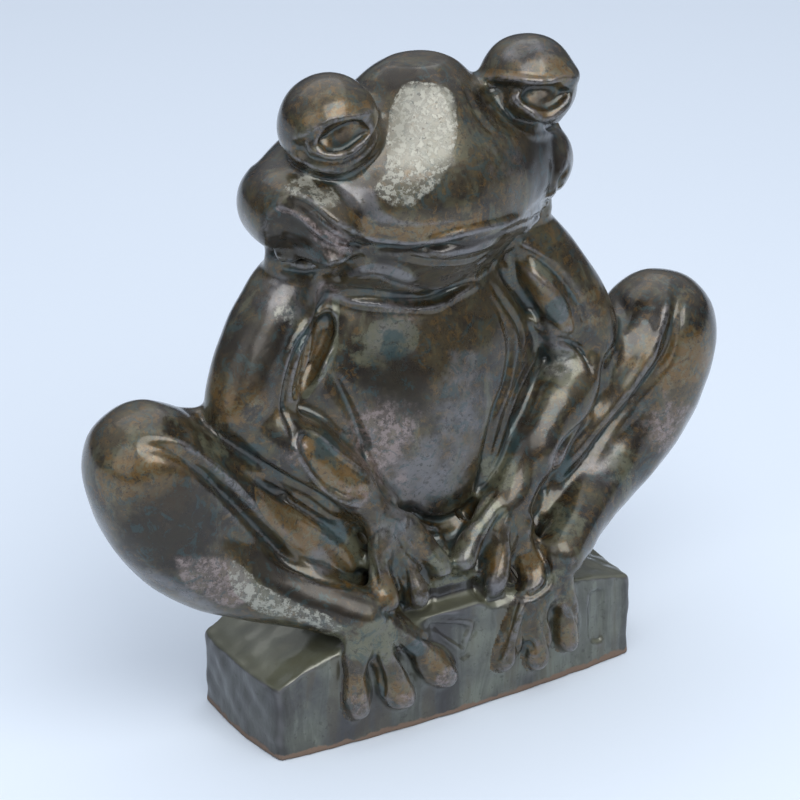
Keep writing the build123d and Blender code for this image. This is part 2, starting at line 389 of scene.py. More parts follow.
# Rolls that close the gaps between the limbs and the body, with their radii
webs = [
    ([(-34, -14, 62), (0, -12, 62), (34, -14, 57)], [18, 17, 18]),
    ([(-40, -24, 84), (-24, -24, 72), (-14, -21, 82)], [8, 9, 7]),
    ([(38, -24, 72), (24, -24, 68), (10, -20, 78)], [8, 9, 7]),
    ([(-52, -34, 52), (-38, -35, 48), (-28, -34, 50)], [7, 8, 7]),
    ([(50, -34, 50), (38, -35, 46), (30, -34, 46)], [7, 8, 7]),
    ([(-60, 0, 205), (-62, -1, 196), (-66, -3, 180), (-70, -5, 164), (-72, -7, 152)], [6, 9, 10, 9, 6]),
    ([(58, 0, 200), (62, -1, 190), (66, -3, 174), (70, -5, 158), (72, -7, 146)], [6, 9, 10, 9, 6]),
    ([(-62, 4, 226), (-63, 4, 220), (-64, 5, 212)], [9, 9, 9]),
    ([(-66, -5, 240), (-66, -8, 234), (-62, -10, 230)], [15, 14.5, 11]),
    ([(62, 4, 224), (63, 4, 219), (64, 5, 212)], [9, 10, 9]),
    ([(-62, -10, 140), (-50, -17, 122), (-38, -21, 104)], [6, 7, 6]),
    ([(62, -10, 132), (50, -17, 114), (38, -21, 97)], [6, 7, 6]),
    ([(-126, 5, 150), (-112, 8, 148.5), (-100, 10, 147), (-90, 12, 140)], [14, 10, 8.5, 8]),
    ([(-74, -8, 114), (-62, -12, 102), (-52, -14, 90), (-45, -16, 77)], [7, 9, 10, 9]),
]
digitLength = 0.56  # half of the leaf's length, as a share of the way from tip to root
for way, radii in webs:
    roll(way, radii)
for tip, root, width, thickness in digits:
    tip, root = Vector(tip), Vector(root)
    lean = root - tip
    turn = (math.asin(-lean.y / lean.length), math.atan2(lean.x, lean.z), 0)
    ball((tip + root) / 2, (width, thickness, lean.length * digitLength), turn)

luting = {"swell": 0.4, "grain": 1.1, "fineGrain": 0.9, "smooth": 6, "fill": (30, 0.8), "calm": 4}


def copyNode(name):
    piece = frame["nodes"][name].copy()
    piece.data = piece.data.copy()
    piece.name = "bench_" + name
    for key in list(piece.keys()):
        del piece[key]
    piece.parent = None
    bpy.context.collection.objects.link(piece)
    pick(piece)
    bpy.ops.object.mode_set(mode="EDIT")
    bpy.ops.mesh.select_all(action="SELECT")
    bpy.ops.mesh.remove_doubles(threshold=1e-6)
    bpy.ops.object.mode_set(mode="OBJECT")
    return piece


# Melts a heap into one mesh with an even grain
def fuse(piece, grain):
    remesh = piece.modifiers.new("fuse", "REMESH")
    remesh.mode = "VOXEL"
    remesh.voxel_size = grain * metre
    remesh.use_smooth_shade = True
    bpy.ops.object.modifier_apply(modifier=remesh.name)


def luteTogether():
    benched = []
    for name in frame["nodes"]:
        piece = copyNode(name)
        grow = piece.modifiers.new("grow", "DISPLACE")
        grow.strength = luting["swell"] * metre
        grow.mid_level = 0
        bpy.ops.object.modifier_apply(modifier=grow.name)
        benched.append(piece)
    deselect()
    for piece in benched + heap:
        piece.select_set(True)
    bpy.context.view_layer.objects.active = benched[0]
    bpy.ops.object.join()
    skin = bpy.context.object
    skin.name = "skin"
    skin.data.materials.clear()
    fuse(skin, luting["grain"])
    # Only the outside is kept: the hollows inside are closed off from it.
    top = int(pull(skin.data.vertices, "co", 3)[:, 2].argmax())
    for items in (skin.data.vertices, skin.data.edges, skin.data.polygons):
        items.foreach_set("select", np.zeros(len(items), bool))
    skin.data.vertices[top].select = True
    bpy.ops.object.mode_set(mode="EDIT")
    bpy.ops.mesh.select_mode(type="VERT")
    bpy.ops.mesh.select_linked()
    bpy.ops.mesh.select_all(action="INVERT")
    bpy.ops.mesh.delete(type="VERT")
    bpy.ops.object.mode_set(mode="OBJECT")
    return skin


skin = luteTogether()
clay = Clay(skin)
print("luted:", clay.size, "points")

clay.at -= clay.normals * luting["swell"]
clay.smooth(luting["smooth"])
clay.fillCorners(*luting["fill"])
clay.smooth(luting["calm"])


# A fresh, even grain over the clay as it is now
def regrain(clay, grain):
    clay.save()
    pick(clay.piece)
    fuse(clay.piece, grain)
    fresh = Clay(clay.piece)
    fresh.smooth(2)
    return fresh


# Strokes of the modelling tool. Each has its width and its height (below 0 it carves), in millimetres,
# and its way over the clay as the camera sees it, in points of the 800-point picture.
eyeStrokes = [
    (1.6, 1.2, (291, 141), (305, 134.5), (322.6, 125), (335, 120), (351, 117.4), (368.5, 112.8),
     (376, 108)),
    (3.2, -1.8, (296, 147), (308, 139), (322, 130), (336, 124), (352, 121), (366, 118)),
    (1.2, -1.3, (312, 148), (322, 139), (336, 129.5), (351, 124), (364, 125), (371, 130)),
    (1.8, 1.7, (313, 149), (324, 155), (337.5, 156.3), (350, 152), (360, 144), (371, 135.6)),
    (1.2, -0.9, (318, 149), (330, 151.5), (342, 150), (353, 144), (363, 136)),
    (2.2, -2.7, (291, 147), (306, 158), (320, 163), (340, 164.5), (353, 159.5), (363, 152.8), (373, 141),
     (379, 129), (380, 113)),
    (3.4, -2.2, (291, 147), (299, 150), (307, 152)),
    (1.4, 0.9, (286, 153), (303, 161), (315, 168), (328, 171), (340, 171.5), (352, 168), (367.5, 158.5),
     (380, 144), (385, 124)),
    (1.5, 1.4, (478, 75.5), (488, 79), (509, 79), (532, 81), (549, 81), (564, 77.5), (578, 79)),
    (2.8, -2.4, (486, 84), (503, 88), (520, 90), (540, 90), (558, 87)),
    (3.6, -2.4, (488, 84), (498, 93), (507, 103)),
    (1.8, 2.2, (571, 92), (567, 102), (556, 113), (543, 117.5), (532, 113), (524, 107)),
    (2, -3, (494, 94), (504, 108), (516, 119.5), (532, 126), (545, 127.5), (558, 122.5), (567, 113)),
    (1.3, 0.9, (477.5, 78), (484, 88), (493, 101), (500, 112), (511.5, 125), (525, 134.2), (540, 135.4),
     (556, 130)),
    (1.6, -1.2, (462, 84), (468, 95), (475, 109), (483, 122), (493, 133)),
]
mouthStrokes = [
    (4, 3.2, (272, 250), (288, 257), (308, 261), (328, 259), (350, 253)),
    (4.5, 3.4, (436, 247), (460, 242), (485, 235), (510, 226), (535, 214), (548, 203)),
    (2.2, -2.4, (366, 247), (390, 249), (410, 250), (430, 247), (460, 240)),
    (1.2, -1.6, (430, 247), (460, 239.5), (498, 229.5), (530, 216), (547, 205)),
    (1.8, 1.7, (270, 203), (281, 194.5), (290, 192), (301, 194.5), (317, 205), (333, 218), (350.6, 229),
     (368, 236), (391, 240.6), (410, 242), (430, 239.7), (445, 237), (460.6, 233), (480, 228.5),
     (499, 224), (513, 218.8), (532, 211), (545, 202), (554, 184), (560.5, 169), (567.4, 151), (575, 132),
     (577, 118)),
    (1.6, -2, (337, 282), (341, 274), (348, 266)),
    (3.2, 1.6, (415, 253), (435, 254), (458, 251), (480, 244), (498, 234)),
    (1.4, -1.8, (400, 256), (420, 259), (440, 262), (460, 262), (478, 258), (492, 248)),
    (3, -3, (480, 262), (484, 260), (488, 257)),
    (3.6, 1.4, (350, 270), (372, 268), (392, 274), (412, 280)),
    (1.4, -1.4, (345, 278), (362, 277), (378, 276), (392, 282), (412, 288), (440, 291), (462, 281)),
    (3.4, -3, (338, 287), (360, 293), (385, 296), (415, 299), (440, 295), (460, 284), (474, 276)),
    (1.6, 2, (334, 296), (354, 301.6), (379, 304), (410, 307.4), (430, 307), (443, 303), (462, 292),
     (479, 284)),
    (1.4, -1.8, (571, 142), (573, 150), (569, 165), (560, 183), (550, 199)),
]
bodyStrokes = [
    (2.4, -2.4, (335, 309), (341, 327), (336, 351), (333, 374), (341, 392), (350, 411), (363, 442),
     (378, 478), (397, 502), (416, 514.5), (435, 521), (454, 517), (473, 503), (481, 480), (487, 450),
     (495, 415), (507, 380), (511, 347), (504, 318), (490, 294)),
    (1.5, 1.4, (332, 279), (314.5, 304), (305, 325.7), (292, 346), (283.7, 368.6), (278.4, 394),
     (277, 407.4), (283.7, 427.5), (289, 449)),
    (1.5, -1.9, (337, 284), (320, 306), (310.5, 327), (297.5, 347.5), (289.5, 369.5), (284.5, 394),
     (283.5, 407), (290, 426), (295, 447)),
    (4.5, -3.2, (331, 313), (322, 338), (312, 362), (299, 392)),
    (2, 1.2, (323, 350), (314, 371), (300, 395)),
    (1.4, 1.3, (333, 306), (337.5, 323), (333, 347), (324, 367), (311, 396)),
    (1.4, 1.2, (305, 428), (297, 436), (297, 449), (309, 472), (325, 490), (350, 504), (368, 505)),
    (1.6, -1.6, (305, 433), (301, 443), (305, 456), (316, 472), (331, 487), (352, 499)),
    (1.3, 1, (307, 428), (331.4, 447), (356, 466), (372, 480)),
    (1.5, -1.3, (308, 433), (329, 451), (352, 470), (368, 484)),
    (1.4, 1.2, (519, 239), (501.4, 254), (496, 261.6), (491, 270)),
    (1.4, 1.2, (547, 208), (524.4, 231), (519, 238), (524, 244), (538.4, 252.7), (559, 263)),
    (3.4, -3.4, (499, 268), (511, 283), (526, 302), (541, 322)),
    (4.5, 2.2, (521, 262), (537, 278), (553, 297), (566, 322)),
    (1.4, -1.8, (525, 249), (541, 262), (557, 275), (570, 291), (580, 308), (584, 326), (577, 343)),
    (1.3, 1.6, (500, 262.5), (510.4, 274.4), (523, 283.3)),
    (1.4, 1.8, (492, 268), (511.6, 292), (528, 312.7), (537, 326.7), (543, 333)),
    (1.6, -1.4, (489, 281), (505, 304), (519, 328), (522, 348)),
    (1.6, -1.8, (553, 337), (568, 342), (580, 350), (589, 366), (592, 380)),
    (1.4, 1.2, (559, 345), (574, 351), (585, 362), (590, 376)),
    (1.8, 1.3, (540, 337), (535, 355), (524, 375), (513, 400), (503, 430), (492, 472)),
]
legStrokes = [
    (3, -5, (138, 447), (155, 448), (174, 453), (203, 471), (227, 495.5), (250, 520), (272, 544.5),
     (295, 565), (325, 579.5), (354, 588)),
    (3.6, 1.8, (138, 438), (155, 437), (180, 444), (213, 467), (238, 490), (260, 517), (274, 535)),
    (1.7, -1.6, (236, 471), (270, 491), (300, 509), (328, 528), (348, 548), (355, 566)),
    (1.6, 1.6, (232, 460), (244, 466), (276, 483), (305, 501), (333.5, 519.5), (356, 541), (364, 563)),
    (2.4, -2.4, (194, 415), (222, 439), (256, 461), (297, 485.5), (338, 511), (364, 535), (375, 557)),
    (1.5, 1.5, (262, 529), (285, 549), (315, 567), (354, 581)),
    (1.3, 1, (272, 551), (296, 571), (325, 585), (354, 592)),
    (3, -4.6, (678, 286), (675, 314), (665, 356), (646, 386), (621, 419), (593, 452), (560, 489)),
    (3.4, 1.6, (669, 282), (665, 314), (653, 351), (634, 382), (608, 413), (581, 446), (553, 481)),
    (2.4, -2.4, (613, 288), (622, 306), (621, 330), (606, 366), (596, 406), (560, 454), (545, 490),
     (536, 516), (534, 537), (541, 550), (556, 560)),
]
handStrokes = [
    (2, -2, (397, 503), (416, 514.5), (435, 521), (454, 517), (473, 503)),
    (1.3, -1.7, (385, 555), (395, 575.6), (401.5, 592), (401, 604), (392, 614), (380, 611)),
    (1.3, -1.5, (371, 556), (375, 575), (377, 600)),
    (1.3, -1.5, (403, 564), (406, 580), (408, 596), (411, 606)),
    (1.3, -1.7, (416, 568), (430.5, 583), (431, 598), (422, 609), (411, 609)),
    (1.4, -1.7, (390, 520), (397, 534), (409, 550.5), (421.5, 564), (431, 578)),
    (1.3, 1.2, (425, 527), (437, 532), (445, 550), (450.6, 567)),
    (1.4, 1.2, (488, 486), (466.4, 510), (443, 529)),
    (1.2, -1.2, (497, 489), (474, 518), (450, 543)),
    (1.6, -2.2, (506, 508), (493, 530), (481, 553), (474, 572)),
    (2, -3, (472, 577), (476, 589), (484, 598), (496, 602), (507, 595)),
    (1.4, -2, (512, 520), (513, 545), (512, 575), (509, 590)),
    (1.4, -2, (533, 523), (539, 548), (547, 566), (548, 582), (540, 592), (530, 596), (519, 592)),
    (1.6, 1.4, (430, 575), (447, 571.5), (454, 570.5), (468, 574)),
]
footStrokes = [
    (1.4, -1.6, (342, 642), (341, 675), (342, 706)),
    (1.4, -1.6, (375, 708), (374, 690), (371, 655)),
    (1.4, -1.8, (374, 645), (378, 667), (386, 698)),
    (1.4, -1.8, (419, 698), (413, 680), (403, 664), (390, 648)),
    (1.4, -1.8, (394, 643), (409, 661), (424, 682)),
    (1.4, -1.8, (460, 670), (452, 652), (440, 643), (415, 634)),
    (1.4, -1.6, (517, 600), (509, 630), (497, 662)),
    (1.4, -1.6, (512, 672), (519, 645), (526, 612)),
    (1.4, -1.6, (529, 602), (524, 630), (525, 658)),
    (1.4, -1.6, (551, 660), (548, 640), (543, 610)),
    (1.4, -1.6, (549, 598), (550, 625), (553, 645)),
    (1.4, -1.6, (583, 640), (577, 617), (566, 598)),
    (1.5, -1.8, (526, 642), (531, 646), (534, 655)),
    (1.4, -1.5, (418, 621), (447, 619), (476, 622), (471, 640), (464, 657), (440, 638), (418, 621)),
]
# Finer strokes, over the calmed cheek
cheekStrokes = [
    (1.5, -1.4, (287, 198), (300, 201), (314, 210), (330, 224), (348, 236), (362, 243)),
    (2, 2.2, (276, 207), (288, 208), (300, 214), (312, 224), (325, 236), (340, 246), (354, 250.5)),
    (1.5, 1.3, (268, 247), (279, 257), (294, 263), (312, 265), (330, 262.5), (347, 256.5), (363, 250)),
    (1.6, -1.8, (264, 258), (277, 266.5), (293, 271.5), (312, 273), (332, 269.5), (348, 262), (364, 255)),
]
# Spots that are smoothed over again: place in the picture, reach in mm, share
calmed = [
    (305, 240, 26, 1),
    (300, 285, 16, 0.4),
    (540, 195, 16, 0.3),
    (352, 141, 8, 0.2),
    (302, 384, 9, 0.8),
    (330, 345, 12, 0.15),
    (459, 515, 12, 0.7),
    (514, 567, 5, 0.6),
    (340, 545, 14, 0.5),
]
calming = {"times": 28, "share": 0.6}

# The cheek and the corner of the mouth are smoothed over before they are modelled.
cheek = {"at": (305, 232), "reach": 36, "fill": (60, 0.9), "smooth": (30, 0.5)}
cheekMask = clay.around(cheek["at"], cheek["reach"])
clay.fillCorners(*cheek["fill"], cheekMask)
clay.smooth(*cheek["smooth"], cheekMask)

# Outlines of the picture that are pressed in (below 0) or built up: lift in mm, border in points
leaves = {
    "mouthCorner": (-5.5, 9, (292, 196), (303, 203), (318, 216), (334, 230), (352, 240), (368, 246),
     (350, 256), (330, 263), (308, 265), (286, 262), (270, 254), (265, 240), (265, 224), (273, 208)),
    "leftEye": (-1.2, 5, (311, 148), (321, 137), (336, 127), (351, 122), (364, 124), (372, 132),
     (361, 144), (350, 152), (337, 156), (322, 155)),
    "armLeaf": (-2.6, 7, (331, 309), (318, 316), (309, 334), (299, 355), (293, 375), (290, 396),
     (297, 402), (313, 384), (325, 364), (333, 344), (336, 325)),
    "forearmLeaf": (-1.2, 6, (303, 432), (300, 446), (308, 463), (324, 482), (348, 498), (366, 500),
     (370, 486), (352, 470), (330, 452), (314, 437)),
    "thighLeaf": (1.2, 8, (252, 482), (280, 497), (306, 514), (334, 533), (356, 556), (355, 574),
     (330, 570), (300, 556), (274, 533), (255, 505)),
    "rightLeaf": (1.6, 8, (516, 256), (532, 263), (548, 277), (563, 293), (574, 312), (576, 332),
     (562, 334), (545, 318), (530, 300), (516, 280)),
    "rightLip": (1.8, 6, (428, 245), (446, 243), (470, 238), (492, 232), (499, 236), (490, 247),
     (470, 256), (448, 258), (430, 253)),
    "throat": (1.8, 8, (344, 272), (362, 263), (384, 261), (402, 267), (420, 279), (408, 285), (388, 279),
     (366, 275), (350, 280)),
    "triangle": (-2.2, 4, (424, 624), (448, 622), (472, 625), (468, 640), (464, 652), (450, 643),
     (436, 633)),
    "recess": (-1.8, 4, (588, 592), (604, 588), (606, 610), (604, 640), (590, 642), (586, 615)),
}
for lift, border, *outline in leaves.values():
    clay.press(outline, lift, border)
clay.look()

# The outer corner of the right upper lid stands out as a blunt point.
lidCorner = {"at": (573, 77), "radius": (8, 8, 4), "lift": 2.6}
clay.swell(clay.seen([lidCorner["at"]])[0], lidCorner["radius"], lidCorner["lift"])
for tools in (mouthStrokes, eyeStrokes, bodyStrokes, legStrokes, handStrokes, footStrokes):
    ends = 0.35 if tools is legStrokes else 0.2  # the leg's grooves fade in slowly
    for width, lift, *way in tools:
        clay.stroke(clay.seen(way), width, lift, ends)
    clay.look()

# What the hands leave: sharper hollows, and slow waves with their length and height in mm
handling = {"sharpen": (6, 0.8), "plinthWaves": [(23, 0.35), (11, 0.2)], "waves": (19, 0.14),
            "plinthTop": 52, "topFade": 6, "plinthEdge": 1, "edgeFade": 8}
clay = regrain(clay, luting["fineGrain"])
clay.sharpen(*handling["sharpen"])
calm = np.zeros(clay.size)
for across, down, reach, share in calmed:
    calm = np.maximum(calm, clay.around((across, down), reach) * share)
clay.smooth(calming["times"], calming["share"], calm)
for width, lift, *way in cheekStrokes:
    clay.stroke(clay.seen(way), width, lift)
clay.look()
fromTop = (handling["plinthTop"] - clay.at[:, 2]) / handling["topFade"]
fromEdge = (clay.at[:, 2] - handling["plinthEdge"]) / handling["edgeFade"]
onPlinth = unit(fromTop) * unit(fromEdge)
for length, lift in handling["plinthWaves"]:
    clay.waves(length, lift, onPlinth)
clay.waves(*handling["waves"])
clay.look()
clay.save()
print("shaped:", clay.size, "points")


# Which clay piece each face of the skin belongs to
def nearestNodes(clay):
    middles = clay.at[clay.faces].mean(1) * metre
    best = np.full(len(middles), 1e9)
    owner = np.zeros(len(middles), int)
    names = [name for name in frame["nodes"] if name != "plinth_floor"]
    margin = 0.012
    for index, name in enumerate(names):
        low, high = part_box(name)
        low = np.array(low) - margin
        high = np.array(high) + margin
        near = np.flatnonzero(((middles > low) & (middles < high)).all(1))
        mesh = frame["nodes"][name].data
        mesh.calc_loop_triangles()
        corners = pull(mesh.loop_triangles, "vertices", 3, int)
        tree = BVHTree.FromPolygons(pull(mesh.vertices, "co", 3).tolist(), corners.tolist())
        for face in near:
            away = tree.find_nearest(middles[face], best[face])[3]
            if away is not None and away < best[face]:
                best[face] = away
                owner[face] = index
    return names, owner


# Tidies the borders between the pieces, so that none is left with stray islands
def calmBorders(clay, owner, count, times=12):
    corners = clay.faces.ravel()
    for _ in range(times):
        votes = np.zeros((clay.size, count), np.float32)
        np.add.at(votes, (corners, np.repeat(owner, 4)), 1)
        total = votes[clay.faces].sum(1)
        total[np.arange(len(owner)), owner] += 2
        owner = total.argmax(1)
    return owner


names, owner = nearestNodes(clay)
owner = calmBorders(clay, owner, len(names))
# The underside is left to the plinth's floor, with its vent.
under = {"height": 8.0, "facing": -0.6, "plugReach": 14.0}
middles = clay.at[clay.faces].mean(1)
facing = clay.normals[clay.faces].mean(1)[:, 2]
fromPlug = np.hypot(middles[:, 0] - ventPlug["at"][0], middles[:, 1] - ventPlug["at"][1])
hidden = (facing < under["facing"]) | (fromPlug < under["plugReach"])
owner[(middles[:, 2] < under["height"]) & hidden] = -1
print("pieces found:", len(names))


# Where the glaze pools in hollows and thins on edges, over fine and over broad forms
relief = [
    {"times": 8, "depth": 0.25, "pool": 0.6, "height": 0.25, "edge": 0.7},
    {"times": 60, "depth": 1.6, "pool": 0.6, "height": 1.8, "edge": 0.4},
]
pool = edge = 0
for form in relief:
    hollow = clay.hollowness(form["times"])
    pool = pool + unit(hollow / form["depth"]) * form["pool"]
    edge = edge + unit(-hollow / form["height"]) * form["edge"]
pool, edge = (clay.average(unit(values)[:, None])[:, 0] for values in (pool, edge))


# Colours of the glazes and of the bare clay. Lilac and silver also colour painted sheen, reflections and
# highlights, and moss colours the painted sheen on the chest, the highlight at the right elbow and the
# highlight on the plinth's top.
glaze = {
    "brown": (70, 60, 41),
    "dark": (40, 35, 29),
    "olive": (80, 75, 52),
    "amber": (108, 82, 42),
    "lilacAndPaintedSheen": (108, 107, 110),
    "teal": (47, 68, 70),
    "silverAndPaintedHighlight": (158, 157, 146),
    "pink": (134, 120, 116),
    "clay": (116, 97, 83),
    "celadonAndPaintedSheen": (112, 117, 106),
    "moss": (102, 103, 84),
    "slate": (58, 58, 61),
    "bareDark": (132, 84, 52),
    "bareLight": (166, 112, 74),
}
# Where the colour changes, as the camera sees it: place in the picture, reach in mm, share. Most spots are
# glaze; the painted ones are marked.
tints = {
    "amber": [(330, 150, 9, 0.7), (328, 112, 15, 0.5), (557, 74, 9, 0.9), (545, 102, 8, 0.9),
     (470, 150, 18, 0.4), (232, 390, 19, 0.6), (335, 468, 12, 0.7), (170, 480, 22, 0.6),
     (125, 480, 18, 0.6), (512, 400, 10, 0.4), (590, 300, 17, 0.5), (690, 360, 20, 0.7),
     (640, 350, 14, 0.5), (400, 230, 10, 0.5), (470, 222, 9, 0.6), (430, 234, 8, 0.7), (365, 226, 7, 0.7),
     (345, 595, 14, 0.5), (357, 690, 9, 0.7), (403, 690, 9, 0.7), (440, 660, 9, 0.7), (388, 590, 9, 0.7),
     (425, 540, 9, 0.5), (532, 560, 9, 0.8), (495, 560, 9, 0.6), (535, 655, 8, 0.6), (575, 635, 9, 0.7),
     (600, 420, 14, 0.5)],
    "dark": [(400, 76, 9, 0.9), (342, 139, 7, 0.7), (546, 101, 7, 0.8), (655, 300, 10, 0.5),
     (252, 350, 20, 0.8), (455, 180, 12, 0.5), (398, 388, 16, 1), (175, 530, 24, 1), (545, 160, 20, 1),
     (300, 240, 12, 0.9), (390, 255, 9, 0.7), (315, 290, 8, 0.5), (248, 330, 14, 0.5), (530, 440, 8, 0.8),
     (660, 330, 12, 0.4), (522, 418, 9, 0.7), (248, 360, 12, 0.6)],
    # Lilac: glaze, except the spots on the chest (395, 335) and the belly's right (465, 400), which are
    # painted sheen, and on the left shoulder (285, 300) and the right elbow (560, 365), which are painted
    # highlights.
    "lilacAndPaintedSheen": [(395, 335, 15, 0.6), (425, 475, 22, 0.8), (465, 400, 20, 0.5), (285, 300, 12, 0.7),
     (490, 160, 10, 0.4), (515, 165, 12, 0.5), (600, 460, 16, 0.5), (395, 525, 12, 0.6),
     (555, 340, 10, 0.6), (497, 590, 6, 0.9), (560, 365, 8, 0.8), (530, 55, 14, 0.5), (320, 562, 8, 0.8)],
    # Silver: crystalline glaze, except the spots on the left cheek (303, 187) and (326, 197), the left
    # shoulder (285, 315) and the right elbow (560, 366), which are painted highlights.
    "silverAndPaintedHighlight": [(303, 187, 8, 0.7), (326, 197, 7, 0.8), (285, 315, 8, 0.5), (560, 366, 7, 0.6),
     (500, 470, 8, 0.5)],
    # Pink: glaze; the spots at (330, 240) and (344, 247), on the ledge under the left upper lip, are also a
    # painted highlight where it faces up.
    "pink": [(323, 290, 7, 1), (378, 440, 17, 0.9), (672, 425, 17, 0.7), (330, 240, 7, 0.9),
     (344, 247, 5, 0.9), (350, 500, 9, 0.6), (400, 303, 9, 0.6), (300, 455, 8, 0.4), (560, 460, 9, 0.5)],
    # Celadon: glaze, except the spot at the right elbow (560, 368), which is a painted highlight.
    "celadonAndPaintedSheen": [(560, 368, 10, 0.9), (450, 600, 22, 0.7), (450, 560, 12, 0.8), (480, 510, 12, 0.7),
     (360, 560, 14, 0.7), (560, 520, 14, 0.6), (380, 640, 14, 0.7), (560, 590, 14, 0.5),
     (350, 640, 12, 0.6), (540, 275, 9, 0.7), (335, 340, 9, 0.5), (370, 350, 14, 0.5), (210, 440, 14, 0.5),
     (320, 500, 12, 0.4), (500, 472, 9, 0.9), (625, 465, 12, 0.6), (90, 500, 12, 0.4)],
    "teal": [(395, 345, 9, 0.6), (505, 440, 9, 0.5), (328, 445, 8, 0.8), (560, 312, 7, 1),
     (330, 530, 9, 0.7), (305, 340, 7, 0.8), (565, 470, 9, 0.6), (640, 420, 9, 0.4), (375, 690, 6, 0.8),
     (415, 650, 6, 0.8), (250, 450, 10, 0.5)],
}
# Bands of colour along a line: reach in mm, share, way over the picture
bands = {
    "amber": [(2.2, 0.9, (352, 216), (368, 227), (391, 232), (410, 234), (430, 232), (460, 226),
     (478, 221)), (2, 0.8, (305, 121), (322, 116), (345, 109), (368, 104)), (2.2, 0.9, (488, 73),
     (515, 75), (545, 76), (568, 70))],
    "dark": [(7, 0.9, (262, 566), (280, 578), (300, 592), (325, 602), (356, 606)), (1.6, 1, (290, 199),
     (303, 204), (318, 215), (334, 228), (352, 237), (368, 243)), (2, 0.8, (396, 249), (430, 250),
     (470, 243), (505, 231)), (2.2, 0.8, (268, 214), (262, 232), (268, 252), (290, 262))],
    # The pink band along the ledge under the left upper lip is glaze with a painted highlight where the
    # ledge faces up.
    "pink": [(1.8, 1, (279, 209), (290, 212), (302, 218), (313, 227), (325, 238), (340, 247), (352, 250))],
    "lilacAndPaintedSheen": [(1.5, 0.9, (366, 239), (391, 243), (410, 245), (430, 243), (460, 236), (498, 226),
     (530, 214)), (1.5, 0.8, (334, 296), (354, 301.6), (379, 304), (410, 307.4), (430, 307), (443, 303))],
    "celadonAndPaintedSheen": [(2, 0.8, (336, 300), (334, 345), (324, 370), (305, 396))],
}
# Washes of colour inside an outline: share, border in points, outline. Most are glaze; the painted ones are
# marked.
washes = {
    # Silver: the first two washes, on the forehead, are crystalline glaze with a painted reflection of the
    # window in it; the third, on the left shin, is crystalline glaze.
    "silverAndPaintedHighlight": [(1.15, 13, (398, 80), (415, 76), (438, 78), (454, 86), (462, 102), (463, 125), (460, 150),
     (446, 170), (405, 176), (382, 168), (381, 135), (385, 105)), (0.62, 16, (382, 140), (460, 140),
     (454, 182), (430, 206), (404, 220), (382, 212), (364, 192), (374, 165)), (0.66, 12, (225, 552),
     (245, 556), (266, 578), (304, 596), (340, 614), (350, 634), (325, 640), (290, 628), (255, 620),
     (235, 604), (220, 580))],
    # Lilac: the washes on the belly's right, along the snout under the left eye, and on the throat are
    # painted reflections; the others are glaze.
    "lilacAndPaintedSheen": [(0.6, 20, (436, 336), (482, 340), (496, 380), (490, 430), (472, 494), (440, 508), (424, 470),
     (430, 400)), (0.75, 12, (146, 556), (176, 572), (212, 594), (236, 614), (218, 622), (180, 604),
     (138, 576)), (0.75, 9, (322, 172), (352, 180), (376, 186), (388, 208), (420, 218), (460, 214),
     (480, 210), (472, 222), (430, 230), (390, 230), (362, 222), (338, 200)), (0.7, 6, (348, 268),
     (372, 262), (400, 268), (424, 282), (445, 285), (440, 293), (404, 290), (372, 280), (348, 278)), (0.7,
     6, (430, 248), (462, 244), (495, 236), (497, 246), (476, 256), (450, 254))],
    # Celadon: this wash on the upper chest is a painted sheen.
    "celadonAndPaintedSheen": [(0.7, 8, (365, 318), (395, 312), (420, 322), (424, 345), (405, 362), (378, 356),
     (362, 340))],
    "dark": [(0.9, 8, (352, 366), (380, 360), (412, 368), (420, 392), (404, 408), (376, 402), (356, 388))],
    "pink": [(0.85, 12, (168, 552), (200, 550), (240, 558), (262, 590), (242, 612), (205, 604),
     (176, 584)), (0.8, 20, (366, 410), (396, 405), (408, 430), (410, 460), (424, 500), (408, 508),
     (388, 488), (378, 450)), (0.7, 8, (345, 690), (372, 690), (373, 716), (358, 724), (344, 714)), (0.7,
     8, (390, 690), (420, 690), (421, 706), (405, 716), (392, 706)), (0.7, 8, (430, 672), (455, 662),
     (462, 680), (446, 692), (432, 688))],
}
# Each leaf's own colour: glaze, except the lilac on the throat, which is a painted reflection
leafTints = {
    "amber": ["armLeaf", "forearmLeaf", "thighLeaf", "rightLeaf", "leftEye"],
    "dark": ["mouthCorner"],
    "lilacAndPaintedSheen": ["rightLip", "throat"],
}
leafWash = {"border": 4, "share": 0.8}
# A spot of colour is whole up to half its reach, and gone at this many times its reach.
fade = 1.5


# Every point's share of each glaze, and of each painted sheen and highlight
def spreadTints():
    found = {}
    for tint, places in tints.items():
        share = np.zeros(clay.size)
        for across, down, reach, most in places:
            centre = clay.seen([(across, down)])
            if centre:
                away = np.linalg.norm(clay.at - np.array(centre[0]), axis=1) / reach
                share = np.maximum(share, most * unit(fade - away))
        for reach, most, *way in bands.get(tint, []):
            line = clay.seen(way)
            if len(line) > 1:
                near, away, _ = clay.measure(line, reach * fade)
                share[near] = np.maximum(share[near], most * unit(fade - away / reach))
        for most, border, *outline in washes.get(tint, []):
            share = np.maximum(share, clay.inside(outline, border) * most)
        for leaf in leafTints.get(tint, []):
            inner = clay.inside(leaves[leaf][2:], leafWash["border"])
            share = np.maximum(share, inner * leafWash["share"])
        found[tint] = share
    return found


shares = {"pool": pool, "edge": edge, **spreadTints()}
# How deep a lip and the middle of its fan lie: mm at most, shares of the opening's size
capLip = {"most": 9.0, "share": 0.4, "depth": 0.7, "calm": 30}
broadNormals = clay.softNormals(capLip["calm"])


